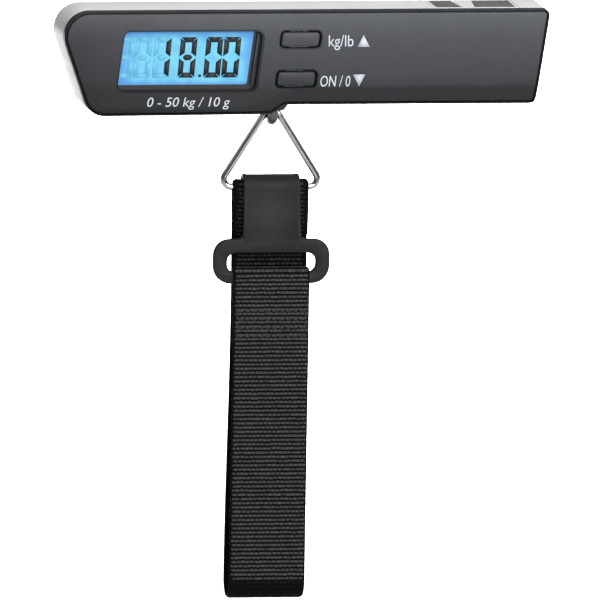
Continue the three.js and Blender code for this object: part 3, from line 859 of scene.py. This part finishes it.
def printed_marks():
    words = (  # piece, text, size, left edge, base line, width and lean
        ("label_unit", "kg/lb", 5.2, 16.0, 5.3, 8.0, 0.0),
        ("label_zero", "ON / 0", 5.0, 13.3, -7.6, 9.7, 0.1),
        ("label_range", "0 - 50 kg / 10 g", 4.3, -42.6, -13.8, 26.6, 0.22),
    )
    for name, text, size, left, base, width, lean in words:
        mark = add_object(name, print_mesh(name, text, size, left, base, width, lean), PRINT, 0)
        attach(mark, "handle")
    for name, x, z, up in (("label_arrow_up", 27.3, 7.0, True), ("label_arrow_down", 26.0, -5.7, False)):
        bm = bmesh.new()
        triangle(bm, x, z, 3.9, 3.8, up)
        mark = add_object(name, from_bmesh(bm, name), PRINT, 0)
        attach(mark, "handle")


printed_marks()

# ---- Wire parts ----

RING_WIRE = 1.1


def circle(radius, sides):
    """Pairs of coordinates around a circle about the origin."""
    angles = [2 * math.pi * step / sides for step in range(sides)]
    return [(radius * math.cos(angle), radius * math.sin(angle)) for angle in angles]


def wire_loop(name, line, radius, sides=20):
    """A closed round wire along a closed line of points that lie in one plane."""
    count = len(line)
    points = [Vector(point) for point in line]
    normal = (points[count // 3] - points[0]).cross(points[2 * count // 3] - points[0]).normalized()
    rings = []
    for index, point in enumerate(points):
        along = (points[(index + 1) % count] - points[index - 1]).normalized()
        side = along.cross(normal)
        rings.append([point + side * across + normal * up for across, up in circle(radius, sides)])
    return loft(name, rings, closed=True)


def even_points(points, spacing):
    """Points spaced evenly along a closed line."""
    closed = [Vector(point) for point in points] + [Vector(points[0])]
    lengths = [0.0]
    for first, second in zip(closed, closed[1:]):
        lengths.append(lengths[-1] + (second - first).length)
    count = round(lengths[-1] / spacing)
    result, leg = [], 0
    for step in range(count):
        distance = lengths[-1] * step / count
        while lengths[leg + 1] < distance:
            leg += 1
        share = (distance - lengths[leg]) / (lengths[leg + 1] - lengths[leg])
        result.append(closed[leg].lerp(closed[leg + 1], share))
    return result


def steel_ring():
    """The closed triangular ring: its apex in the eye and its straight side in the strap's loop."""
    half_apex = math.radians(32.2)
    apex_radius = 3
    apex = PIVOT_Z + apex_radius * (1 / math.sin(half_apex) - 1)
    half_base = (apex - RING_BAR_Z) * math.tan(half_apex)
    corners = [(-half_base, RING_BAR_Z, 2.5), (half_base, RING_BAR_Z, 2.5), (0, apex, apex_radius)]
    line = even_points([(x, 0, z) for x, z in outline(corners, 0, 16)], 0.5)
    ring = add_object("wire_ring", wire_loop("wire_ring", line, RING_WIRE), CHROME, 0)
    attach(ring, "ring")
    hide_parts("triangle_ring")


def turned(name, profile):
    """A solid turned about Z from pairs of radius and height."""
    return loft(name, [[(x, y, z) for x, y in circle(radius, 32)] for radius, z in profile])


def steel_eye():
    """The eye, seen edge on from the front, with its shank up into the bar and a collar on it."""
    low, high = box_mm("hook_eye")
    wire = 1.6
    radius = high[1] - wire
    centre = low[2] + wire + radius
    line = [(0, y, centre + z) for y, z in circle(radius, 64)]
    eye = add_object("steel_eye", wire_loop("steel_eye", line, wire, 24), DARK_STEEL, 0)
    neck = centre + radius
    shank = turned("shank", ((0.4, neck - 0.4), (1.9, neck), (1.9, high[2] - 0.4), (1.5, high[2])))
    top = box_mm("load_cell")[0][2] - GAP
    collar = turned("collar", ((3.3, top - 1.6), (3.6, top - 1.3), (3.6, top - 0.3), (3.3, top)))
    carve(eye, [shank, collar], "UNION")
    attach(eye, "handle")
    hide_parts("hook_eye")


steel_ring()
steel_eye()

# ---- Webbing ----


def bezier(start, leave, arrive, end, steps=40):
    """Points along a cubic curve in the Y-Z plane."""
    points = []
    for step in range(steps + 1):
        t = step / steps
        s = 1 - t
        weights = (s**3, 3 * s * s * t, 3 * s * t * t, t**3)
        corners = (start, leave, arrive, end)
        points.append(tuple(sum(w * c[axis] for w, c in zip(weights, corners)) for axis in (0, 1)))
    return points


def arc(y, z, radius, start, end, steps=32):
    """Points on an arc in the Y-Z plane, angles in degrees from +Y."""
    angles = [math.radians(start + (end - start) * step / steps) for step in range(steps + 1)]
    return [(y + radius * math.cos(a), z + radius * math.sin(a)) for a in angles]


def resample(points, spacing):
    """Evenly spaced points along an open Y-Z line."""
    every = [Vector((y, z)) for y, z in points]
    line = every[:1] + [after for before, after in zip(every, every[1:]) if (after - before).length > 1e-6]
    lengths = [0.0]
    for first, second in zip(line, line[1:]):
        lengths.append(lengths[-1] + (second - first).length)
    count = max(2, round(lengths[-1] / spacing))
    result, leg = [], 0
    for step in range(count + 1):
        distance = min(lengths[-1] * step / count, lengths[-1] - 1e-9)
        while lengths[leg + 1] < distance:
            leg += 1
        share = (distance - lengths[leg]) / (lengths[leg + 1] - lengths[leg])
        result.append(line[leg].lerp(line[leg + 1], share))
    return result, lengths[-1] / count


def webbing(name, points, narrow=None, seed=0.0, crest=1.0, margin=0.5):
    """Ribbed webbing along a Y-Z line. Each rib is a real ridge on both faces.

    The crest sets how bright the painted highlight on the ribs is, and the margin how far in from each edge
    it fades into painted shade.
    """
    line, step = resample(points, 0.17)
    columns, selvedge = 34, 0.45
    half_width = WEB_WIDTH / 2
    rows, painted_rib_light = [], []
    for index, point in enumerate(line):
        before, after = line[max(index - 1, 0)], line[min(index + 1, len(line) - 1)]
        along = (after - before).normalized()
        out = Vector((-along.y, along.x))
        distance = index * step
        pick = round(distance / RIB_PITCH)
        # painted shade: the ribs' colour darkens round the underside of the fold
        fold_shade = 0.25 + 0.75 * smooth(point.y, FOLD_Z - 1.5, FOLD_Z + 1.5)
        squeeze = narrow(point) if narrow else 1
        row, row_painted_rib_light = [], []
        for face in (-1, 1):
            for column in range(columns + 1):
                share = column / columns * 2 - 1
                x = -face * share * half_width
                inside = min(max((half_width - abs(x)) / selvedge, 0), 1)
                wander = noise.noise(Vector((x * 0.5, distance * 0.22 + face * 7, seed)))
                rib = abs(math.cos(math.pi * (distance / RIB_PITCH + wander * 0.1)))
                rib = (1 - (1 - rib) ** 1.8) * inside
                thread = noise.noise(Vector((x * 2.8, pick * 3.1, seed + face)))
                ground = WEB / 2 * (0.62 + 0.38 * inside) - RIB_DEPTH
                offset = out * (face * (ground + RIB_DEPTH * rib * (0.9 + 0.2 * thread)))
                row.append((x * squeeze, point.x + offset.x, point.y + offset.y))
                # painted shade that fades in towards each edge over the margin
                edge = smooth(half_width - abs(x), 0, margin)
                twill = 0.16 if (column + pick) % 2 else -0.16
                # painted highlight on the rib: thread and twill tone, times the painted shade of the fold and
                # the edges, at the crest's level
                light = (0.88 + 0.25 * thread + twill) * fold_shade * crest * edge
                row_painted_rib_light.append(smooth(rib, 0.5, 1.0) * light)
        rows.append(row)
        painted_rib_light += row_painted_rib_light
    mesh = loft(name, rows)
    # the ribs' painted light and shade, stored for the webbing's colour
    attribute = mesh.attributes.new("rib", "FLOAT", "POINT")
    attribute.data.foreach_set("value", painted_rib_light)
    return add_object(name, mesh, WEBBING, 50)


BACK_TOP = PIVOT_Z - 39.9  # where the loop sewn around the ring closes
SLACK_TOP = -96
PINCH = WEB / 2 + 0.12  # half the distance between the two layers under the sewn loop
WEB_LINE = RING_WIRE + 0.1 + WEB / 2  # centre line of the webbing around the ring's straight side
RUN_Y = -0.1  # the back run hangs under the ring's straight side
FOLD_RADIUS = 5.5
FOLD_Z = -168.3
BUCKLE_LOW, BUCKLE_HIGH = box_mm("hook_buckle")
CLIP_FACE, CLIP_REAR = -5.0, -3.1  # front and back of the buckle's flat loop
CLIP_TOP, SLOT_TOP, SLOT_BOTTOM = -57.8, -62.4, -68.5
BAR_Y = (CLIP_FACE + CLIP_REAR) / 2
BAR_REACH = (CLIP_REAR - CLIP_FACE) / 2 + 0.12 + WEB / 2
SEWN_Y, SEWN_END = BAR_Y - 0.5, -91.5


def squeeze_in_ring(point):
    """The webbing draws in a little where it passes between the ring's corners."""
    return 1 - 0.012 * math.exp(-(((point.y - RING_BAR_Z) / 5) ** 2))


def back_strap():
    """From the fold up behind the buckle, around the ring and down to where its end is sewn."""
    gather, spread_out, hang = BACK_TOP + 6, BACK_TOP + 8, BACK_TOP - 22
    line = (
        bezier((-PINCH, BACK_TOP), (-PINCH, gather), (-WEB_LINE, spread_out), (-WEB_LINE, RING_BAR_Z))
        + arc(0, RING_BAR_Z, WEB_LINE, 180, 0)
        + bezier((WEB_LINE, RING_BAR_Z), (WEB_LINE, spread_out), (PINCH, gather), (PINCH, BACK_TOP))
        + bezier((PINCH, BACK_TOP), (PINCH, BACK_TOP - 8), (RUN_Y, BACK_TOP - 10), (RUN_Y, hang))
        + bezier((RUN_Y, hang), (RUN_Y, SLACK_TOP - 16), (FOLD_RADIUS, SLACK_TOP - 38), (FOLD_RADIUS, FOLD_Z))
        + arc(0, FOLD_Z, FOLD_RADIUS, 0, -90, 16)
    )
    # painted shade: the back run's ribs are painted darker, and darker still over a wide margin at each edge
    back = webbing("strap_back_web", line, squeeze_in_ring, 3.0, crest=0.72, margin=2.2)
    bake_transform(back)
    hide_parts("webbing_back_run", "webbing_slack_run")


def front_strap():
    """From the fold up in front, over the buckle's lower bar and down to where its end is sewn."""
    top = SLOT_BOTTOM + 0.35 + WEB / 2 - BAR_REACH
    before, behind = BAR_Y - BAR_REACH, BAR_Y + BAR_REACH
    line = (
        arc(0, FOLD_Z, FOLD_RADIUS, -90, -180, 16)
        + bezier((-FOLD_RADIUS, FOLD_Z), (-FOLD_RADIUS - 0.2, -140), (before, -110), (before, -80))
        + [(before, top)]
        + arc(BAR_Y, top, BAR_REACH, 180, 0)
        + bezier((behind, top), (behind, -76), (SEWN_Y, -76), (SEWN_Y, -81))
        + [(SEWN_Y, SEWN_END)]
    )
    front = webbing("strap_front_web", line, None, 9.0)
    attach(front, "strap_front")
    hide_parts("webbing_front_run", "webbing_fold")


back_strap()
front_strap()


def stitches(name, places, body, size=(0.95, 0.2, 0.26)):
    """Small raised stitches; each place is x, y, z and whether it runs across or along the strap."""
    bm = bmesh.new()
    for x, y, z, across in places:
        made = bmesh.ops.create_uvsphere(bm, u_segments=8, v_segments=6, radius=1)
        long, deep, thin = size
        for vertex in made["verts"]:
            a, b, c = vertex.co
            width, height = (a * long, c * thin) if across else (a * thin, c * long)
            vertex.co = Vector((x + width, y + b * deep, z + height)) * MM
    piece = add_object(name, from_bmesh(bm, name), THREAD, 0)
    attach(piece, body)


def sewing():
    """A box of stitches under the buckle, and two rows of them under the loop around the ring."""
    front_y = BAR_Y - BAR_REACH - WEB / 2 + 0.08
    top, row_pitch, pitch, side_pitch = BUCKLE_LOW[2] - 8.6, 2.7, 2.2, 2.0
    places = []
    for row in range(4):
        places += [(-9.9 + pitch * step, front_y, top - row_pitch * row, True) for step in range(10)]
    for side in (-11.0, 11.0):
        places += [(side, front_y, top - side_pitch * step, False) for step in range(5)]
    stitches("box_stitching", places, "strap_front")
    back_y = WEB / 2 + PINCH - 0.03
    rows = (BACK_TOP + 5.5, BACK_TOP + 3)
    tack = [(-9.6 + 2.4 * step, back_y, z, True) for z in rows for step in range(9)]
    stitches("bar_tack_stitching", tack, "strap_back")


sewing()

# ---- Buckle ----


NECK = 9.15  # half the tongue's width
TONGUE = 1.3
ROOT = 1.98  # thickness where the tongue leaves the flat loop


def hook_loop():
    """The buckle's flat loop with its slot for the strap."""
    half = (BUCKLE_HIGH[0] - BUCKLE_LOW[0]) / 2
    high, low, face, rear = CLIP_TOP, BUCKLE_LOW[2], CLIP_FACE, CLIP_REAR
    corners = [
        (-half, low, 5.8),
        (half, low, 5.8),
        (half, high, 5.2),
        (NECK, high, 2.2),
        (NECK, high + 3.4, 0.3),
        (-NECK, high + 3.4, 0.3),
        (-NECK, high, 2.2),
        (-half, high, 5.2),
    ]
    body = slab("hook_clip", corners, face, rear, front_round=0.75, back_round=0.5, steps=8)
    loop = add_object("hook_clip", body, BUCKLE)
    reach = 14.3
    slot = [(-reach, SLOT_BOTTOM, 2.6), (reach, SLOT_BOTTOM, 2.6)]
    slot += [(reach, SLOT_TOP, 2.6), (-reach, SLOT_TOP, 2.6)]
    pairs = [(-0.7, face - 0.1), (-0.25, face + 0.25), (0, face + 0.7), (0, rear - 0.4), (-0.5, rear + 0.1)]
    slot_cut = loft("slot", [[(x, y, z) for x, z in outline(slot, inset, 6)] for inset, y in pairs])
    return carve(loop, [slot_cut])


def tongue():
    """The tongue that rises from the loop and bends over the ring's straight side."""
    bend = WEB_LINE + WEB / 2 + 0.2 + TONGUE / 2
    line = (
        [(BAR_Y, CLIP_TOP - 0.6), (BAR_Y, CLIP_TOP + 3.6), (-bend - 0.02, RING_BAR_Z - 1.5)]
        + arc(0, RING_BAR_Z, bend, 180, 0, 28)
        + [(bend, RING_BAR_Z - 2.2), (bend + 0.15, RING_BAR_Z - 3.4)]
    )
    points, _ = resample(line, 0.35)
    rings = []
    for index, point in enumerate(points):
        before, after = points[max(index - 1, 0)], points[min(index + 1, len(points) - 1)]
        along = (after - before).normalized()
        out = Vector((-along.y, along.x))
        near_loop = (1 - smooth(point.y, CLIP_TOP + 3.6, CLIP_TOP + 13)) * (point.x < 0)
        root = 1 + (ROOT / TONGUE - 1) * near_loop
        ring = []
        for x, depth in tongue_section():
            shift = out * depth * root
            ring.append((x, point.x + shift.x, point.y + shift.y))
        rings.append(ring)
    return loft("tongue", rings)


def tongue_section():
    """The tongue's cross section: flat, with a low raised rim along each side of its outer face."""
    rim, rim_foot, corner = 0.9, 1.25, 0.3
    outer, crest = TONGUE / 2, TONGUE / 2 + 0.16
    right = [(NECK - corner, -outer), (NECK, -outer + corner), (NECK, crest - corner)]
    right += [(NECK - corner, crest), (NECK - rim, crest), (NECK - rim_foot, outer)]
    return right + [(-x, depth) for x, depth in reversed(right)]


def hook_buckle():
    clip = carve(hook_loop(), [tongue()], "UNION", 40)
    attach(clip, "strap_front")
    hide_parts("hook_buckle")


hook_buckle()

# ---- Pieces inside the bar keep their CAD shapes ----

INSIDE = {
    STEEL: [
        *(f"case_screw_{number}" for number in range(1, 5)),
        *("cell_bracket", "cell_screw_1", "cell_screw_2", "bracket_screw_1", "bracket_screw_2"),
        *("eye_washer", "eye_nut", "unit_switch", "zero_switch"),
        *("coin_cell", "battery_contact_negative", "battery_contact_positive"),
    ],
    BLACK: [
        *("display_frame", "zebra_connector", "controller_chip", "gauge_lead"),
        *("battery_holder", "battery_lead_negative"),
    ],
    BOARD: ["main_board"],
    ALUMINIUM: ["load_cell"],
    FOIL: ["strain_gauge_top", "strain_gauge_bottom"],
    DIFFUSER: ["backlight_panel"],
    RED: ["battery_lead_positive"],
}
for material, nodes in INSIDE.items():
    for node in nodes:
        for slot in frame["nodes"][node].material_slots:
            slot.material = material

# ---- Floor, light and camera ----


def studio():
    floor_z = cad_low[2] - 0.12
    mesh = bpy.data.meshes.new("floor")
    reach = 14
    corners = [(-reach, -reach, floor_z), (reach, -reach, floor_z)]
    corners += [(reach, reach, floor_z), (-reach, reach, floor_z)]
    mesh.from_pydata(corners, [], [(0, 1, 2, 3)])
    paper = surface("floor paper", (0.86, 0.86, 0.86), (0.88, 0.88, 0.88), 0.9, 60, 0.05, cloud=2)
    floor = add_object("floor", mesh, paper, 0)
    world = bpy.data.worlds.new("studio")
    bpy.context.scene.world = world
    world.use_nodes = True
    world.node_tree.nodes["Background"].inputs["Color"].default_value = (0.94, 0.97, 1.0, 1)
    world.node_tree.nodes["Background"].inputs["Strength"].default_value = 0.16


def area_light(name, place, target, size, power, spread=180):
    """A rectangular light at a place in metres, aimed at a target."""
    data = bpy.data.lights.new(name, "AREA")
    data.shape = "RECTANGLE"
    data.size, data.size_y = size
    data.energy = power
    data.spread = math.radians(spread)
    light = bpy.data.objects.new(name, data)
    light.location = place
    light.rotation_euler = (Vector(target) - Vector(place)).to_track_quat("-Z", "Y").to_euler()
    bpy.context.scene.collection.objects.link(light)


FRAME_WIDTH = 191.9  # what the picture takes in at the target


def camera():
    """A long lens, a little to the left of the object and a little above it."""
    azimuth, elevation, roll = math.radians(-9.5), math.radians(8.3), math.radians(0.95)
    distance = 8.0
    target = Vector((10.25, 0, -78.3)) * MM
    level = math.cos(elevation)
    back = Vector((math.sin(azimuth) * level, -math.cos(azimuth) * level, math.sin(elevation)))
    data = bpy.data.cameras.new("camera")
    data.sensor_width = 36
    data.lens = data.sensor_width * distance / (FRAME_WIDTH * MM)
    data.clip_start, data.clip_end = 0.05, 100
    cam = bpy.data.objects.new("camera", data)
    cam.location = target + back * distance
    cam.rotation_mode = "QUATERNION"
    cam.rotation_quaternion = (-back).to_track_quat("-Z", "Y") @ Quaternion((0, 0, 1), roll)
    bpy.context.scene.collection.objects.link(cam)
    bpy.context.scene.camera = cam


studio()
area_light("front", (0.3, -1.3, 0.36), (0.01, 0, -0.03), (1.1, 0.45), 17)
area_light("strip", (0.06, -0.17, 0.17), (0.03, -0.01, 0), (0.3, 0.05), 0.3)
area_light("top", (0.05, 0.3, 0.9), (0.01, 0, -0.05), (0.9, 0.5), 7)
area_light("backdrop", (0.3, 1.9, 1.6), (0.3, 1.9, -0.3), (3.6, 1.5), 130, spread=75)
camera()
bpy.context.scene.view_settings.view_transform = "Standard"
